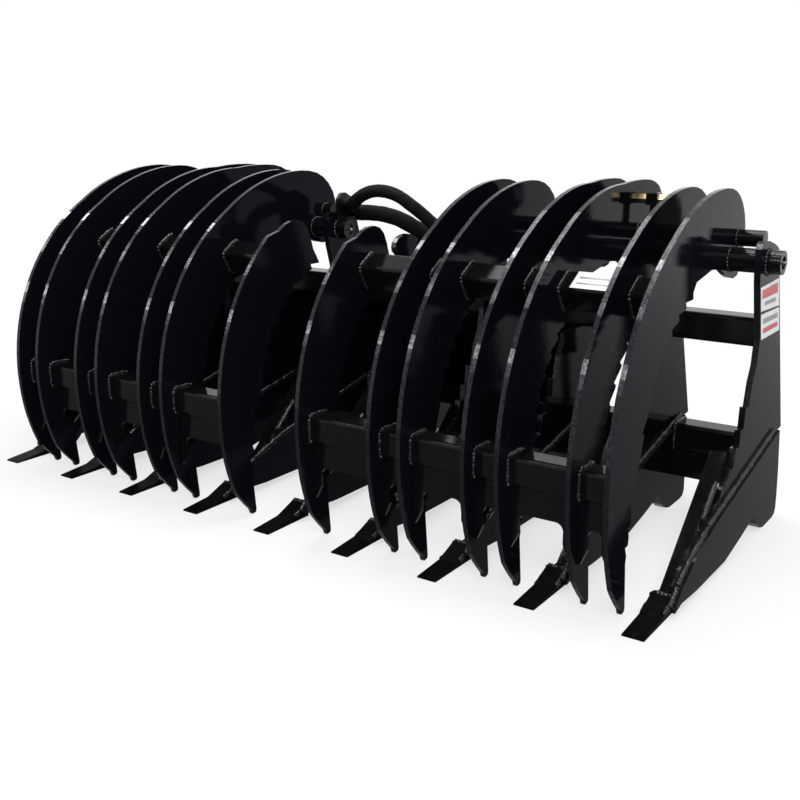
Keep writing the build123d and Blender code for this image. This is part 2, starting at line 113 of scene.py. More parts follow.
class Graph:
    """Small helper that adds and links nodes in one node tree."""

    def __init__(self, tree: bpy.types.NodeTree) -> None:
        """Keep the tree.

        Args:
            tree: The node tree to fill.
        """
        self.tree = tree

    def add(self, kind: str, **values: object) -> bpy.types.Node:
        """Add a node and set its own properties.

        Args:
            kind: Blender's name of the node type.
            values: Properties to set on the node.

        Returns:
            The new node.
        """
        node = self.tree.nodes.new(kind)
        for name, value in values.items():
            setattr(node, name, value)
        return node

    def link(self, source: bpy.types.NodeSocket, target: bpy.types.NodeSocket) -> None:
        """Join an output to an input."""
        self.tree.links.new(source, target)

    def noise(self, scale: float, detail: float = 4.0, rough: float = 0.5) -> bpy.types.NodeSocket:
        """Add a noise on the object's own coordinates.

        Args:
            scale: Noise scale, in waves per metre.
            detail: Number of octaves.
            rough: Strength of the finer octaves.

        Returns:
            The noise's value output.
        """
        coordinates = self.add("ShaderNodeTexCoord")
        pattern = self.add("ShaderNodeTexNoise")
        pattern.inputs["Scale"].default_value = scale
        pattern.inputs["Detail"].default_value = detail
        pattern.inputs["Roughness"].default_value = rough
        self.link(coordinates.outputs["Object"], pattern.inputs["Vector"])
        return pattern.outputs["Fac"]

    def span(self, value: bpy.types.NodeSocket, low: float, high: float, to_low: float,
             to_high: float) -> bpy.types.NodeSocket:
        """Map a value from one range to another.

        Args:
            value: The value to map.
            low: Start of the input range.
            high: End of the input range.
            to_low: Result at the start.
            to_high: Result at the end.

        Returns:
            The mapped value.
        """
        node = self.add("ShaderNodeMapRange")
        self.link(value, node.inputs["Value"])
        for name, number in (("From Min", low), ("From Max", high), ("To Min", to_low), ("To Max", to_high)):
            node.inputs[name].default_value = number
        return node.outputs["Result"]

    def mix(self, factor: bpy.types.NodeSocket, first: object, second: object) -> bpy.types.NodeSocket:
        """Mix two colours, each a socket or a fixed colour.

        Args:
            factor: Share of the second colour.
            first: Socket or colour at factor 0.
            second: Socket or colour at factor 1.

        Returns:
            The mixed colour.
        """
        node = self.add("ShaderNodeMix", data_type="RGBA")
        self.link(factor, node.inputs["Factor"])
        for name, colour in (("A", first), ("B", second)):
            socket = [s for s in node.inputs if s.name == name and s.type == "RGBA"][0]
            if isinstance(colour, bpy.types.NodeSocket):
                self.link(colour, socket)
            else:
                socket.default_value = (*colour, 1.0)
        return [s for s in node.outputs if s.type == "RGBA"][0]

    def bump(self, height: bpy.types.NodeSocket, strength: float, distance: float) -> bpy.types.NodeSocket:
        """Turn a height into a normal.

        Args:
            height: The height value.
            strength: Strength of the bump.
            distance: Depth of the relief in metres.

        Returns:
            The normal output.
        """
        node = self.add("ShaderNodeBump")
        node.inputs["Strength"].default_value = strength
        node.inputs["Distance"].default_value = distance
        self.link(height, node.inputs["Height"])
        return node.outputs["Normal"]


class Effect:
    """A shader node group that several finishes share."""

    name = "effect"
    inputs: tuple[tuple[str, Socket, float], ...] = ()
    outputs: tuple[tuple[str, Socket], ...] = ()

    def group(self) -> bpy.types.NodeTree:
        """Build the group once and give it back on later calls.

        Returns:
            The node group.
        """
        known = bpy.data.node_groups.get(self.name)
        if known is not None:
            return known
        tree = bpy.data.node_groups.new(self.name, "ShaderNodeTree")
        for label, kind, value in self.inputs:
            socket = tree.interface.new_socket(name=label, in_out="INPUT", socket_type=kind.value)
            socket.default_value = value
        for label, kind in self.outputs:
            tree.interface.new_socket(name=label, in_out="OUTPUT", socket_type=kind.value)
        graph = Graph(tree)
        self.build(graph, graph.add("NodeGroupInput"), graph.add("NodeGroupOutput"))
        return tree

    def build(self, graph: Graph, entry: bpy.types.Node, leave: bpy.types.Node) -> None:
        """Fill the group's tree; each effect has its own."""
        raise NotImplementedError

    def place(self, graph: Graph, **values: float) -> bpy.types.Node:
        """Place the group in a material.

        Args:
            graph: The material's graph.
            values: Values of the group's inputs, by name.

        Returns:
            The group node.
        """
        node = graph.add("ShaderNodeGroup")
        node.node_tree = self.group()
        for name, value in values.items():
            node.inputs[name].default_value = value
        return node


class SprayCoat(Effect):
    """Fine waviness and dust of a sprayed gloss coat."""

    name = "spray_coat"
    inputs = (("Peel", Socket.VALUE, 260.0), ("Wave", Socket.VALUE, 14.0), ("Dust", Socket.VALUE, 0.3))
    outputs = (("Height", Socket.VALUE), ("Dust", Socket.VALUE))

    def build(self, graph: Graph, entry: bpy.types.Node, leave: bpy.types.Node) -> None:
        """Add the peel, the long waves and the dust mask.

        Args:
            graph: The group's graph.
            entry: The group's input node.
            leave: The group's output node.
        """
        coordinates = graph.add("ShaderNodeTexCoord")
        peel = graph.add("ShaderNodeTexNoise")
        wave = graph.add("ShaderNodeTexNoise")
        for node, label in ((peel, "Peel"), (wave, "Wave")):
            graph.link(coordinates.outputs["Object"], node.inputs["Vector"])
            graph.link(entry.outputs[label], node.inputs["Scale"])
            node.inputs["Detail"].default_value = 2.0
        low = graph.add("ShaderNodeMath", operation="MULTIPLY")
        low.inputs[1].default_value = 5.0
        graph.link(wave.outputs["Fac"], low.inputs[0])
        total = graph.add("ShaderNodeMath", operation="ADD")
        graph.link(low.outputs[0], total.inputs[0])
        graph.link(peel.outputs["Fac"], total.inputs[1])
        graph.link(total.outputs[0], leave.inputs["Height"])
        specks = graph.noise(46.0, 6.0, 0.62)
        mask = graph.span(specks, 0.5, 0.78, 0.0, 1.0)
        scaled = graph.add("ShaderNodeMath", operation="MULTIPLY")
        graph.link(mask, scaled.inputs[0])
        graph.link(entry.outputs["Dust"], scaled.inputs[1])
        graph.link(scaled.outputs[0], leave.inputs["Dust"])


class CutEdge(Effect):
    """Broken mask and drag lines of a plate's flame-cut edges: all faces that don't look along the width."""

    name = "cut_edge"
    inputs = (("Lines", Socket.VALUE, 700.0), ("Share", Socket.VALUE, 1.0))
    outputs = (("Edge", Socket.VALUE), ("Height", Socket.VALUE))

    def build(self, graph: Graph, entry: bpy.types.Node, leave: bpy.types.Node) -> None:
        """Add the mask and the cut's drag lines.

        Args:
            graph: The group's graph.
            entry: The group's input node.
            leave: The group's output node.
        """
        coordinates = graph.add("ShaderNodeTexCoord")
        split = graph.add("ShaderNodeSeparateXYZ")
        graph.link(coordinates.outputs["Normal"], split.inputs[0])
        flat = graph.add("ShaderNodeMath", operation="ABSOLUTE")
        graph.link(split.outputs["X"], flat.inputs[0])
        mask = graph.span(flat.outputs[0], 0.35, 0.65, 1.0, 0.0)
        patchy = graph.span(graph.noise(170.0, 3.0, 0.6), 0.36, 0.64, 0.2, 1.0)
        broken = graph.add("ShaderNodeMath", operation="MULTIPLY")
        graph.link(mask, broken.inputs[0])
        graph.link(patchy, broken.inputs[1])
        shared = graph.add("ShaderNodeMath", operation="MULTIPLY")
        graph.link(broken.outputs[0], shared.inputs[0])
        graph.link(entry.outputs["Share"], shared.inputs[1])
        graph.link(shared.outputs[0], leave.inputs["Edge"])
        stretch = graph.add("ShaderNodeMapping")
        stretch.inputs["Scale"].default_value = (0.06, 1.0, 1.0)
        graph.link(coordinates.outputs["Object"], stretch.inputs["Vector"])
        lines = graph.add("ShaderNodeTexNoise")
        lines.inputs["Detail"].default_value = 1.0
        graph.link(stretch.outputs[0], lines.inputs["Vector"])
        graph.link(entry.outputs["Lines"], lines.inputs["Scale"])
        cut = graph.add("ShaderNodeMath", operation="MULTIPLY")
        graph.link(lines.outputs["Fac"], cut.inputs[0])
        graph.link(mask, cut.inputs[1])
        graph.link(cut.outputs[0], leave.inputs["Height"])


@dataclass(frozen=True)
class Paint:
    """Sprayed gloss paint, with a thicker gloss on cut edges and a specular tint that can paint a blue sky reflection
    into the gloss.
    """

    name: str
    colour: tuple[float, float, float]
    dust: tuple[float, float, float]
    roughness: float
    dust_share: float
    relief: float
    specular: float = 0.5
    edge: float = 0.0
    # Colour of the reflections; a blue value paints a sky reflection, white leaves them neutral
    painted_sky_reflection_tint: tuple[float, float, float] = (1.0, 1.0, 1.0)

    def material(self) -> bpy.types.Material:
        """Build the paint's material.

        Returns:
            The material.
        """
        made = bpy.data.materials.new(self.name)
        made.use_nodes = True
        graph = Graph(made.node_tree)
        shader = made.node_tree.nodes["Principled BSDF"]
        coat = SprayCoat().place(graph, Dust=self.dust_share)
        skin = graph.mix(coat.outputs["Dust"], self.colour, self.dust)
        rough = graph.span(coat.outputs["Dust"], 0.0, 1.0, self.roughness, 0.5)
        normal = graph.bump(coat.outputs["Height"], 0.35, self.relief)
        if self.edge > 0.0:
            cut = CutEdge().place(graph, Share=self.edge)
            graph.link(cut.outputs["Edge"], shader.inputs["Coat Weight"])
            shader.inputs["Coat Roughness"].default_value = 0.13
            relief = graph.add("ShaderNodeBump")
            relief.inputs["Strength"].default_value = 0.35
            relief.inputs["Distance"].default_value = 0.0004
            graph.link(cut.outputs["Height"], relief.inputs["Height"])
            graph.link(normal, relief.inputs["Normal"])
            normal = relief.outputs["Normal"]
        graph.link(skin, shader.inputs["Base Color"])
        graph.link(rough, shader.inputs["Roughness"])
        graph.link(normal, shader.inputs["Normal"])
        shader.inputs["Specular IOR Level"].default_value = self.specular
        # The specular tint paints the colour of a sky reflection into the gloss
        shader.inputs["Specular Tint"].default_value = (*self.painted_sky_reflection_tint, 1.0)
        return made


@dataclass(frozen=True)
class Metal:
    """Bare metal with fine turning marks."""

    name: str
    colour: tuple[float, float, float]
    dark: tuple[float, float, float]
    roughness: float
    grain: float = 420.0

    def material(self) -> bpy.types.Material:
        """Build the metal's material.

        Returns:
            The material.
        """
        made = bpy.data.materials.new(self.name)
        made.use_nodes = True
        graph = Graph(made.node_tree)
        shader = made.node_tree.nodes["Principled BSDF"]
        shader.inputs["Metallic"].default_value = 1.0
        stain = graph.span(graph.noise(60.0, 5.0, 0.6), 0.35, 0.75, 0.0, 1.0)
        graph.link(graph.mix(stain, self.colour, self.dark), shader.inputs["Base Color"])
        graph.link(graph.span(stain, 0.0, 1.0, self.roughness, self.roughness + 0.18), shader.inputs["Roughness"])
        graph.link(graph.bump(graph.noise(self.grain, 2.0), 0.15, 0.0002), shader.inputs["Normal"])
        return made


@dataclass(frozen=True)
class Sleeve:
    """Woven protective sleeve of a hose."""

    name: str
    colour: tuple[float, float, float]
    pale: tuple[float, float, float]

    def material(self) -> bpy.types.Material:
        """Build the sleeve's woven material.

        Returns:
            The material.
        """
        made = bpy.data.materials.new(self.name)
        made.use_nodes = True
        graph = Graph(made.node_tree)
        shader = made.node_tree.nodes["Principled BSDF"]
        weave = graph.add("ShaderNodeTexVoronoi")
        weave.inputs["Scale"].default_value = 520.0
        coordinates = graph.add("ShaderNodeTexCoord")
        graph.link(coordinates.outputs["Object"], weave.inputs["Vector"])
        worn = graph.span(graph.noise(38.0, 5.0, 0.6), 0.45, 0.8, 0.0, 0.6)
        graph.link(graph.mix(worn, self.colour, self.pale), shader.inputs["Base Color"])
        shader.inputs["Roughness"].default_value = 0.62
        shader.inputs["Specular IOR Level"].default_value = 0.05
        graph.link(graph.bump(weave.outputs["Distance"], 0.6, 0.0006), shader.inputs["Normal"])
        return made


@dataclass(frozen=True)
class Vinyl:
    """Printed label film, with faint fading."""

    name: str
    colour: tuple[float, float, float]

    def material(self) -> bpy.types.Material:
        """Build the film's material.

        Returns:
            The material.
        """
        made = bpy.data.materials.new(self.name)
        made.use_nodes = True
        graph = Graph(made.node_tree)
        shader = made.node_tree.nodes["Principled BSDF"]
        faded = tuple(0.86 * c + 0.05 for c in self.colour)
        graph.link(graph.mix(graph.noise(24.0, 3.0), self.colour, faded), shader.inputs["Base Color"])
        shader.inputs["Roughness"].default_value = 0.32
        return made


# The plate paint's blue specular tint (last value) is a painted blue sky reflection
PLATE = Paint("black_plate_paint", (0.0034, 0.0040, 0.0056), (0.012, 0.013, 0.016), 0.06, 0.08, 0.00025, 0.06, 0.75,
              (0.6, 0.78, 1.0))
TUBE = Paint("black_tube_paint", (0.0034, 0.0035, 0.0038), (0.016, 0.016, 0.016), 0.10, 0.10, 0.0003, 0.16)
TOOTH = Paint("black_tooth_paint", (0.0022, 0.0023, 0.0027), (0.022, 0.022, 0.023), 0.34, 0.35, 0.0008, 0.02)
BEAD = Paint("painted_weld", (0.0045, 0.0048, 0.0055), (0.09, 0.09, 0.095), 0.15, 0.30, 0.0020, 0.45)
STEEL = Metal("pin_steel", (0.42, 0.42, 0.43), (0.2, 0.19, 0.19), 0.34)
FITTING = Metal("dark_fitting", (0.035, 0.035, 0.038), (0.012, 0.012, 0.013), 0.28)
CHROME = Metal("rod_chrome", (0.78, 0.79, 0.8), (0.6, 0.6, 0.62), 0.07)
BRONZE = Metal("bush_bronze", (0.5, 0.34, 0.18), (0.22, 0.14, 0.08), 0.35)
BRASS = Metal("plug_brass", (0.72, 0.55, 0.27), (0.4, 0.28, 0.12), 0.24)
SLEEVE = Sleeve("hose_sleeve", (0.0035, 0.0035, 0.0038), (0.011, 0.011, 0.0115))
WHITE = Vinyl("label_white", (0.82, 0.82, 0.81))
RED = Vinyl("label_red", (0.55, 0.03, 0.03))
GREY = Vinyl("label_grey", (0.24, 0.25, 0.27))


@dataclass
class Dresser:
    """Gives every CAD node its finish."""

    finishes: dict[str, object] = field(default_factory=lambda: {
        "black_paint": TUBE, "pin_steel": STEEL, "chrome_rod": CHROME, "bronze": BRONZE, "brass_plug": BRASS,
        "hose_sleeve": SLEEVE})
    plates: tuple[str, ...] = ("side_plate", "inner_upright", "tine_uprights", "heel_plates", "outer_pair",
                               "lever_pair", "inner_pair", "single_plate", "anchor_lugs", "attach_ribs")

    def dress(self, frame: dict) -> int:
        """Assign a material to each node, by the record's slot.


        Returns:
            How many nodes were dressed.
        """
        made = {slot: finish.material() for slot, finish in self.finishes.items()}
        plate = PLATE.material()
        special = {"tine_chisels": TOOTH.material(), "hose_fittings": FITTING.material()}
        slots = {part["node"]: part["material_slot"] for part in frame["record"]["subparts"]}
        for name, node in frame["nodes"].items():
            node.data.materials.clear()
            finish = plate if name.startswith(self.plates) else made[slots[name]]
            node.data.materials.append(special.get(name, finish))
        return len(slots)


def mesh_object(name: str, shape: bmesh.types.BMesh, material: bpy.types.Material, smooth: bool) -> bpy.types.Object:
    """Turn a bmesh into a scene object.

    Args:
        name: The piece's name.
        shape: The filled bmesh; it is freed.
        material: The piece's material.
        smooth: Whether its faces are smooth.

    Returns:
        The new object.
    """
    bmesh.ops.recalc_face_normals(shape, faces=shape.faces)
    for face in shape.faces:
        face.smooth = smooth
    mesh = bpy.data.meshes.new(name)
    shape.to_mesh(mesh)
    shape.free()
    mesh.materials.append(material)
    piece = bpy.data.objects.new(name, mesh)
    bpy.context.scene.collection.objects.link(piece)
    return piece


@dataclass
class WeldSet:
    """Weld beads of one body, as rippled half-buried beads along straight seams."""

    name: str
    body: str
    radius: float = 7.6
    ripple: float = 9.0
    sides: int = 8
    base_share: float = 0.66
    wave_share: float = 0.2
    wobble_share: float = 0.38
    lump_share: float = 0.22
    end_share: float = 0.45
    shortest: float = 0.004
    seams: list[tuple[Vector, Vector, float]] = field(default_factory=list)

    def seam(self, start: tuple[float, float, float], end: tuple[float, float, float], share: float = 1.0) -> None:
        """Add a seam between two places in profile millimetres, with the bead's share of the full radius."""
        self.seams.append((point(*start), point(*end), share))

    def loop(self, x: float, outline: list[tuple[float, float]], closed: bool = True, share: float = 1.0) -> None:
        """Add seams along an outline on a plate's face.

        Args:
            x: The face's place along the width.
            outline: Corners as (y, z) in profile millimetres.
            closed: Whether the last corner joins the first.
            share: The bead's share of the full radius.
        """
        ends = outline[1:] + outline[:1] if closed else outline[1:]
        for a, b in zip(outline, ends):
            self.seam((x, *a), (x, *b), share)

    def bead(self, shape: bmesh.types.BMesh, start: Vector, end: Vector, share: float, seed: int) -> None:
        """Add one rippled bead.

        Args:
            shape: The bmesh that takes the bead.
            start: Its first end.
            end: Its last end.
            share: Its share of the full radius.
            seed: Number that varies the ripples.
        """
        run = end - start
        length = run.length
        if length < self.shortest:
            return
        along = run.normalized()
        side = along.orthogonal().normalized()
        up = along.cross(side)
        steps = max(3, int(length / (self.ripple * MM / 4)))
        rings = []
        for k in range(steps + 1):
            u = k / steps
            place = start + run * u
            drift = 0.5 * noise.noise(place * 25 + Vector((0, seed, 0)))
            wave = abs(math.sin(math.pi * (u * length / (self.ripple * MM) + drift)))
            wobble = noise.noise(place * 55 + Vector((seed, 0, 0)))
            size = share * self.radius * MM * (self.base_share + self.wave_share * wave + self.wobble_share * wobble)
            if k in (0, steps):
                size *= self.end_share
            ring = []
            for j in range(self.sides):
                a = 2 * math.pi * j / self.sides
                lump = 1.0 + self.lump_share * noise.noise(place * 160 + Vector((seed, j * 0.9, 0)))
                ring.append(shape.verts.new(place + size * lump * (math.cos(a) * side + math.sin(a) * up)))
            rings.append(ring)
        for one, two in zip(rings, rings[1:]):
            for j in range(self.sides):
                n = (j + 1) % self.sides
                shape.faces.new((one[j], one[n], two[n], two[j]))
        shape.faces.new(rings[0][::-1])
        shape.faces.new(rings[-1])

    def build(self, material: bpy.types.Material) -> bpy.types.Object:
        """Build all beads as one piece that rides on the body.

        Args:
            material: The beads' material.

        Returns:
            The new piece.
        """
        shape = bmesh.new()
        for seed, (start, end, share) in enumerate(self.seams):
            self.bead(shape, start, end, share, seed)
        piece = mesh_object(self.name, shape, material, True)
        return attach(piece, self.body)


def square(cy: float, cz: float, size: float, tilt: float = 0.0, round_off: float = 6.0) -> list[tuple[float, float]]:
    """Corners of a tube's outline with its corners cut.

    Args:
        cy: Centre, front to back.
        cz: Centre height.
        size: Outer width.
        tilt: Turn in degrees.
        round_off: Length cut from each corner.

    Returns:
        Eight corners as (y, z).
    """
    h, r = size / 2, size / 2 - round_off
    flat = [(-h, -r), (-r, -h), (r, -h), (h, -r), (h, r), (r, h), (-r, h), (-h, r)]
    c, s = math.cos(math.radians(tilt)), math.sin(math.radians(tilt))
    return [(cy + y * c - z * s, cz + y * s + z * c) for y, z in flat]


def circle(cy: float, cz: float, radius: float, count: int = 20) -> list[tuple[float, float]]:
    """Corners of a round outline.

    Args:
        cy: Centre, front to back.
        cz: Centre height.
        radius: Outer radius.
        count: Number of corners.

    Returns:
        The corners as (y, z).
    """
    turns = [2 * math.pi * k / count for k in range(count)]
    return [(cy + radius * math.cos(a), cz + radius * math.sin(a)) for a in turns]


@dataclass
class LidWelds:
    """Places of the weld beads of one lid."""

    side: Side
    lid_t: float = 12.0
    pair_half: float = 44.35
    pair_shift: float = 24.0
    low_tube: tuple[float, float, float] = (59.0, 311.0, 70.0)
    up_tube: tuple[float, float, float] = (*UP_CENTRE, UP_SIZE)
    up_tilt: float = UP_TILT
    hub: tuple[float, float, float] = (678.0, 735.0, 30.0)
    bar: tuple[float, float, float] = (725.0, 784.0, 21.2)

    def plates(self) -> list[tuple[float, float, bool]]:
        """Give each plate's faces and whether it reaches the hub.

        Returns:
            Tuples of left face, right face and reach.
        """
        gaps = (0, 1, 2) if self.side is Side.LEFT else (5, 6, 7)
        single = 3 if self.side is Side.LEFT else 4
        made = []
        for gap in gaps:
            c = tine_x(gap + 0.5) + self.pair_shift
            made.append((c - self.pair_half - self.lid_t, c - self.pair_half, True))
            made.append((c + self.pair_half - self.lid_t, c + self.pair_half, True))
        c = tine_x(single + 0.5) + self.pair_shift
        made.append((c - self.lid_t, c, False))
        return sorted(made)

    def build(self, material: bpy.types.Material) -> bpy.types.Object:
        """Build the lid's beads.

        Args:
            material: The beads' material.

        Returns:
            The piece.
        """
        welds = WeldSet("weld_beads_lid_" + self.side.value, "lid_" + self.side.value)
        plates = self.plates()
        low = square(*self.low_tube)
        up = square(*self.up_tube, tilt=self.up_tilt)
        for number, (left, right, reach) in enumerate(plates):
            faces = []
            if number > 0:
                faces.append(left)
            if number < len(plates) - 1:
                faces.append(right)
            for x in faces:
                welds.loop(x, low)
                welds.loop(x, up)
            if reach:
                for x in (left, right):
                    welds.loop(x, circle(*self.hub), share=0.62)
                    welds.loop(x, circle(*self.bar, count=14), share=0.55)
        return welds.build(material)


@dataclass
class FrameWelds:
    """Places of the frame's weld beads."""

    upright: tuple[float, float] = (14.0, 30.0)
    heel_face: float = 44.0
    mid_tube: tuple[float, float, float] = (798.0, 538.0, 76.0)
    low_tube: tuple[float, float, float] = (838.0, 212.0, 76.0)
    heel_top: tuple[tuple[float, float], ...] = ((884, 254), (687, 212), (366, 143), (244, 100), (174, 63), (133, 26))
    pivot: tuple[float, float, float] = (678.0, 735.0, 31.0)

    def mirror(self, tine: int, near: float) -> float:
        """Place a face of a tine's plates; the first tine is the mirror image."""
        return tine_x(tine) - near if tine == 0 else tine_x(tine) + near

    def build(self, material: bpy.types.Material) -> bpy.types.Object:
        """Build the frame's beads.

        Args:
            material: The beads' material.

        Returns:
            The piece.
        """
        welds = WeldSet("weld_beads_frame", FRAME)
        tall = (0, 3, 4, 5, 8)
        mid = square(*self.mid_tube)
        low = square(*self.low_tube)
        for tine in range(TINES):
            inner, outer = (self.mirror(tine, near) for near in self.upright)
            heel = self.mirror(tine, self.heel_face)
            welds.loop(outer, list(self.heel_top), closed=False, share=1.25)
            if tine in tall:
                if tine != 0:
                    welds.loop(inner, mid)
                if tine != 8:
                    welds.loop(outer if tine else inner, mid)
            welds.loop(inner, low)
            if tine not in (0, 8):
                welds.loop(heel, low)
            welds.loop(inner, [(450, 227), (221, 24)], closed=False, share=1.2)
            self.chisel_beads(welds, tine)
        for x in (tine_x(8) + 30, tine_x(0) - 30, tine_x(3) + 30, tine_x(5) + 14):
            welds.loop(x, circle(*self.pivot), share=0.7)
        return welds.build(material)

    def chisel_beads(self, welds: WeldSet, tine: int) -> None:
        """Add the beads round a chisel's rear end and the bar's foot.

        Args:
            welds: The weld set that takes them.
            tine: The tine's number.
        """
        c = tine_x(tine)
        welds.seam((c - 25, 170, 37), (c + 25, 170, 37))
        welds.seam((c - 25, 171, 37), (c - 25, 173, 4))
        welds.seam((c + 26, 110, 18), (c + 26, 168, 36))
        welds.seam((c - 26, 110, 8), (c - 26, 168, 20))


@dataclass
class Hose:
    """One sleeved hose between two fittings of the frame, with creases in the sleeve."""

    name: str
    node: str
    radius: float
    route: tuple[tuple[float, float, float], ...]
    length: float
    sides: int = 28
    crease: float = 0.07
    step: float = 4.0

    def line(self) -> list[Vector]:
        """Read the hose's centre line from a smooth curve.

        Returns:
            Points along it, in frame metres.
        """
        curve = bpy.data.curves.new(self.name + "_line", "CURVE")
        curve.dimensions = "3D"
        spline = curve.splines.new("NURBS")
        spline.points.add(len(self.route) - 1)
        for target, (x, y, z) in zip(spline.points, self.route):
            target.co = (*point(x, y, z), 1.0)
        spline.order_u = 3
        spline.use_endpoint_u = True
        spline.resolution_u = 24
        guide = bpy.data.objects.new(self.name + "_line", curve)
        mesh = bpy.data.meshes.new_from_object(guide)
        points = [vertex.co.copy() for vertex in mesh.vertices]
        bpy.data.meshes.remove(mesh)
        bpy.data.objects.remove(guide)
        bpy.data.curves.remove(curve)
        return points

    def spaced(self, points: list[Vector]) -> list[Vector]:
        """Give points an even spacing along the same line.

        Args:
            points: Points along the line.

        Returns:
            Evenly spaced points with the same ends.
        """
        marks = [0.0]
        for a, b in zip(points, points[1:]):
            marks.append(marks[-1] + (b - a).length)
        count = max(8, round(marks[-1] / (self.step * MM)))
        even = []
        k = 0
        for n in range(count + 1):
            goal = marks[-1] * n / count
            while k < len(marks) - 2 and marks[k + 1] < goal:
                k += 1
            share = (goal - marks[k]) / max(1e-9, marks[k + 1] - marks[k])
            even.append(points[k].lerp(points[k + 1], share))
        return even

    def crease_at(self, place: Vector, angle: float, along: float) -> float:
        """Give the sleeve's radius share at a place, smaller in the creases.

        Args:
            place: Point on the centre line.
            angle: Angle round the hose.
            along: Share of the length, 0 to 1.

        Returns:
            The radius as a share of the full one, at most 1.
        """
        fold = noise.noise(Vector((place.x * 42, place.y * 42, math.cos(angle) * 1.4)))
        fine = noise.noise(Vector((along * 70, math.cos(angle) * 2.2, math.sin(angle) * 2.2 + self.radius)))
        ends = min(1.0, 12 * min(along, 1 - along))
        return 1.0 - self.crease * ends * (0.55 + 0.6 * fold + 0.5 * fine)

    def build(self, material: bpy.types.Material) -> bpy.types.Object:
        """Build the sleeve as a tube with creases.

        Args:
            material: The sleeve's material.

        Returns:
            The piece.
        """
        points = self.spaced(self.line())
        shape = bmesh.new()
        side = (points[1] - points[0]).orthogonal().normalized()
        rings = []
        last = len(points) - 1
        for k, place in enumerate(points):
            ahead = (points[min(k + 1, last)] - points[max(k - 1, 0)]).normalized()
            side = (side - ahead * side.dot(ahead)).normalized()
            up = ahead.cross(side)
            ring = []
            for j in range(self.sides):
                a = 2 * math.pi * j / self.sides
                size = self.radius * MM * min(1.0, self.crease_at(place, a, k / last))
                ring.append(shape.verts.new(place + size * (math.cos(a) * side + math.sin(a) * up)))
            rings.append(ring)
        for one, two in zip(rings, rings[1:]):
            for j in range(self.sides):
                n = (j + 1) % self.sides
                shape.faces.new((one[j], one[n], two[n], two[j]))
        shape.faces.new(rings[0][::-1])
        shape.faces.new(rings[-1])
        piece = mesh_object(self.name, shape, material, True)
        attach(piece, FRAME)
        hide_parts(self.node)
        LOG.info("%s is %.4f m long", self.name, sum((b - a).length for a, b in zip(points, points[1:])))
        return piece


@dataclass
class Label:
    """A blank label film on a flat face, with plain colour bands."""

    name: str
    corners: tuple[tuple[float, float, float], ...]
    body: str
    bands: tuple[tuple[float, float, float, float, object], ...] = ()
    thick: float = 0.25
    gap: float = 0.05

    def sheet(self, name: str, spots: list[Vector], out: Vector, lift: float,
              finish: bpy.types.Material) -> bpy.types.Object:
        """Build one thin film.

        Args:
            name: The film's name.
            spots: Corners in frame metres.
            out: The face's outward direction.
            lift: Height over the face in millimetres.
            finish: The film's material.

        Returns:
            The piece.
        """
        shape = bmesh.new()
        rings = [[shape.verts.new(spot + out * h * MM) for spot in spots] for h in (lift, lift + self.thick)]
        for ring in rings:
            shape.faces.new(ring)
        count = len(spots)
        for k in range(count):
            n = (k + 1) % count
            shape.faces.new((rings[0][k], rings[0][n], rings[1][n], rings[1][k]))
        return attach(mesh_object(name, shape, finish, False), self.body)

    def build(self, finishes: dict[object, bpy.types.Material]) -> bpy.types.Object:
        """Build the label's base film and its bands.

        Args:
            finishes: Material of each film.

        Returns:
            The label's base film.
        """
        a, b, c, d = (point(*corner) for corner in self.corners)
        out = (c - a).cross(b - a).normalized()
        if out.dot(Vector((0.6, -0.7, 0.3))) < 0:
            out = -out
        base = self.sheet(self.name, [a, b, c, d], out, self.gap, finishes[WHITE])
        for number, (u0, v0, u1, v1, finish) in enumerate(self.bands):
            spots = [a.lerp(b, u).lerp(d.lerp(c, u), v) for u, v in ((u0, v0), (u1, v0), (u1, v1), (u0, v1))]
            self.sheet(f"{self.name}_band_{number + 1}", spots, out, self.gap + self.thick + 0.02, finishes[finish])
        return base


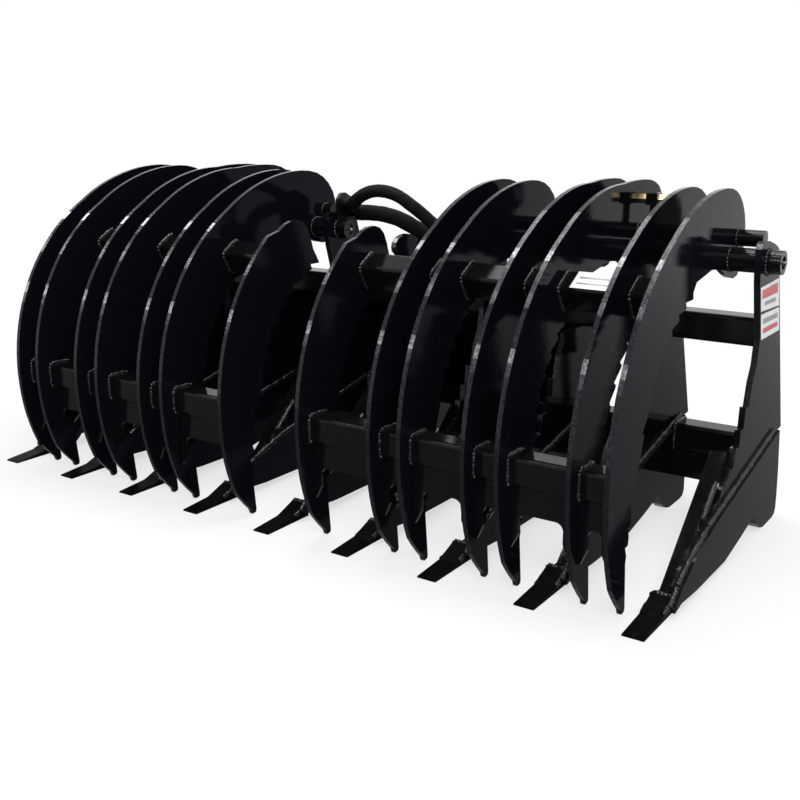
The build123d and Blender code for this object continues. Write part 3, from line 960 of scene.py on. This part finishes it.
@dataclass
class Studio:
    """Camera, floor, world and lamps."""

    place: tuple[float, float, float] = (2875.4 - 4 * PITCH, -2009.5, 1105.6)
    yaw: float = 0.5976
    pitch: float = 0.2676
    focal_px: float = 1074.57
    image_px: float = 800.0
    sensor: float = 36.0
    strips: tuple[tuple[float, float], ...] = ((-2.94, 2.31), (-1.36, 3.52), (0.1, 3.75))
    strip_x: float = -2.6
    strip_size: tuple[float, float] = (6.2, 0.26)
    strip_power: float = 100.0
    soft_power: float = 122.0

    def camera(self) -> bpy.types.Object:
        """Make the camera at the photograph's angle.

        Returns:
            The camera object.
        """
        data = bpy.data.cameras.new("camera")
        data.sensor_width = self.sensor
        data.lens = self.focal_px * self.sensor / self.image_px
        data.clip_end = 100.0
        camera = bpy.data.objects.new("camera", data)
        camera.location = point(*self.place)
        camera.rotation_euler = (math.pi / 2 - self.pitch, 0.0, self.yaw)
        bpy.context.scene.collection.objects.link(camera)
        bpy.context.scene.camera = camera
        return camera

    def white_for_camera(self, graph: Graph, lit: bpy.types.NodeSocket, strength: float,
                         shares: tuple[bpy.types.NodeSocket, ...] = ()) -> bpy.types.NodeSocket:
        """Show plain white to the camera, in gloss and through glass.

        Args:
            graph: The material's graph.
            lit: The shader that other rays see.
            strength: Strength of the white.
            shares: Share of the white for the camera and level of the white for the others, or none.

        Returns:
            The mixed shader.
        """
        path = graph.add("ShaderNodeLightPath")
        both = graph.add("ShaderNodeMath", operation="MAXIMUM")
        graph.link(path.outputs["Is Glossy Ray"], both.inputs[0])
        graph.link(path.outputs["Is Transmission Ray"], both.inputs[1])
        camera = path.outputs["Is Camera Ray"]
        white = graph.add("ShaderNodeEmission" if shares else "ShaderNodeBackground")
        white.inputs["Color"].default_value = (1.0, 1.0, 1.0, 1.0)
        white.inputs["Strength"].default_value = strength
        if shares:
            share, level = shares
            part = graph.add("ShaderNodeMath", operation="MULTIPLY")
            graph.link(camera, part.inputs[0])
            graph.link(share, part.inputs[1])
            camera = part.outputs[0]
            power = graph.add("ShaderNodeMix")
            graph.link(both.outputs[0], power.inputs[0])
            power.inputs[2].default_value = strength
            graph.link(level, power.inputs[3])
            graph.link(power.outputs[0], white.inputs["Strength"])
        most = graph.add("ShaderNodeMath", operation="MAXIMUM")
        graph.link(camera, most.inputs[0])
        graph.link(both.outputs[0], most.inputs[1])
        mixed = graph.add("ShaderNodeMixShader")
        graph.link(most.outputs[0], mixed.inputs[0])
        graph.link(lit, mixed.inputs[1])
        graph.link(white.outputs[0], mixed.inputs[2])
        return mixed.outputs[0]

    def world(self) -> None:
        """Light the scene softly from a pale world."""
        world = bpy.data.worlds.new("studio")
        world.use_nodes = True
        bpy.context.scene.world = world
        graph = Graph(world.node_tree)
        lit = world.node_tree.nodes["Background"]
        lit.inputs["Color"].default_value = (0.92, 0.95, 1.0, 1.0)
        lit.inputs["Strength"].default_value = 0.55
        output = world.node_tree.nodes["World Output"]
        graph.link(self.white_for_camera(graph, lit.outputs[0], 1.0), output.inputs["Surface"])

    def floor(self) -> bpy.types.Object:
        """Make the plain pale floor.

        Returns:
            The floor object.
        """
        shape = bmesh.new()
        bmesh.ops.create_grid(shape, x_segments=1, y_segments=1, size=14.0)
        made = bpy.data.materials.new("pale_floor")
        made.use_nodes = True
        graph = Graph(made.node_tree)
        shader = made.node_tree.nodes["Principled BSDF"]
        shader.inputs["Base Color"].default_value = (0.9, 0.9, 0.9, 1.0)
        shader.inputs["Roughness"].default_value = 0.9
        coordinates = graph.add("ShaderNodeTexCoord")
        away = graph.add("ShaderNodeVectorMath", operation="LENGTH")
        graph.link(coordinates.outputs["Object"], away.inputs[0])
        seen = graph.span(away.outputs["Value"], 1.3, 2.8, 0.64, 1.0)
        # Gloss rays see the floor as a white glow that is dimmer near the object: a painted darker reflection of the
        # surroundings in the paint
        mirrored = graph.span(away.outputs["Value"], 1.2, 6.0, 0.3, 1.0)
        graph.link(self.white_for_camera(graph, shader.outputs[0], 1.0, (seen, mirrored)),
                   made.node_tree.nodes["Material Output"].inputs["Surface"])
        floor = mesh_object("floor", shape, made, False)
        floor.location.z = -0.0005
        return floor

    def lamp(self, name: str, place: tuple[float, float, float], target: tuple[float, float, float],
             size: tuple[float, float], power: float) -> bpy.types.Object:
        """Add a soft lamp.

        Args:
            name: The lamp's name.
            place: Its place in metres.
            target: What it looks at.
            size: Width and height in metres.
            power: Watts.

        Returns:
            The lamp.
        """
        data = bpy.data.lights.new(name, "AREA")
        data.shape = "RECTANGLE"
        data.size, data.size_y = size
        data.energy = power
        lamp = bpy.data.objects.new(name, data)
        lamp.location = place
        lamp.rotation_euler = (Vector(target) - Vector(place)).to_track_quat("-Z", "Y").to_euler()
        bpy.context.scene.collection.objects.link(lamp)
        return lamp

    def build(self) -> None:
        """Make the whole studio."""
        self.camera()
        self.world()
        self.floor()
        self.lamp("key", (2.6, -3.2, 3.6), (0.0, 0.0, 0.4), (2.4, 2.4), self.soft_power)
        self.lamp("top", (0.0, 0.6, 4.2), (0.0, 0.0, 0.4), (3.0, 3.0), self.soft_power)
        for number, (y, z) in enumerate(self.strips):
            place, target = (self.strip_x, y, z), (self.strip_x, 0.0, 0.5)
            strip = self.lamp(f"strip_{number + 1}", place, target, self.strip_size, self.strip_power)
            strip.visible_diffuse = False
        bpy.context.scene.view_settings.view_transform = "Standard"


HOSE_X = tine_x(3) + UPRIGHT_OUTER + 40.0
END_X = tine_x(4) + 68.0
OUTER_HOSE = Hose("hose_outer_sleeve", "hose_outer", 20.0, (
    (HOSE_X, 690, 812), (HOSE_X + 52, 674, 854), (HOSE_X + 156, 675, 860), (END_X - 20, 695, 802),
    (END_X + 54, 755, 715), (END_X + 72, 798, 646), (END_X + 72, 798, 590)), 0.535)
INNER_HOSE = Hose("hose_inner_sleeve", "hose_inner", 25.0, (
    (HOSE_X, 735, 782), (HOSE_X + 78, 738, 786), (END_X - 89, 747, 758), (END_X - 19, 783, 700), (END_X, 798, 642),
    (END_X, 798, 590)), 0.385)

SIDE_FACE = tine_x(8) + UPRIGHT_OUTER


def on_side(*corners: tuple[float, float]) -> tuple[tuple[float, float, float], ...]:
    """Place corners on the right side plate's outer face."""
    return tuple((SIDE_FACE, y, z) for y, z in corners)


def on_bar(*corners: tuple[float, float]) -> tuple[tuple[float, float, float], ...]:
    """Place corners on the top face of the upper front tube, as distance across and X."""
    turn = math.radians(UP_TILT)
    spots = []
    for across, x in corners:
        y = UP_CENTRE[0] + across * math.cos(turn) - UP_SIZE / 2 * math.sin(turn)
        z = UP_CENTRE[1] + across * math.sin(turn) + UP_SIZE / 2 * math.cos(turn)
        spots.append((x - 4 * PITCH, y, z))
    return tuple(spots)


LABELS = (
    Label("side_label_upper", on_side((630, 677), (784, 682), (808, 608), (648, 615)), FRAME,
          ((0.07, 0.14, 0.93, 0.5, RED), (0.2, 0.64, 0.8, 0.8, GREY))),
    Label("side_label_lower", on_side((651, 607), (810, 603), (831, 539), (671, 540)), FRAME,
          ((0.1, 0.2, 0.9, 0.4, GREY), (0.1, 0.58, 0.9, 0.78, RED))),
    Label("bar_label", on_bar((31, 1812), (31, 1925), (-29, 1925), (-29, 1812)), "lid_right",
          ((0.1, 0.3, 0.9, 0.42, GREY), (0.1, 0.66, 0.9, 0.76, GREY))),
)


def main() -> None:
    """Load the frame, dress it and add the pieces."""
    logging.basicConfig(level=logging.INFO, format="%(message)s")
    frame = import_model()
    LOG.info("dressed %d nodes", Dresser().dress(frame))
    bead = BEAD.material()
    for side in Side:
        LOG.info("built %s", LidWelds(side).build(bead).name)
    LOG.info("built %s", FrameWelds().build(bead).name)
    sleeve = SLEEVE.material()
    for hose in (OUTER_HOSE, INNER_HOSE):
        LOG.info("built %s", hose.build(sleeve).name)
    films = {finish: finish.material() for finish in (WHITE, RED, GREY)}
    for label in LABELS:
        LOG.info("built %s", label.build(films).name)
    Studio().build()


if __name__ == "__main__":
    main()
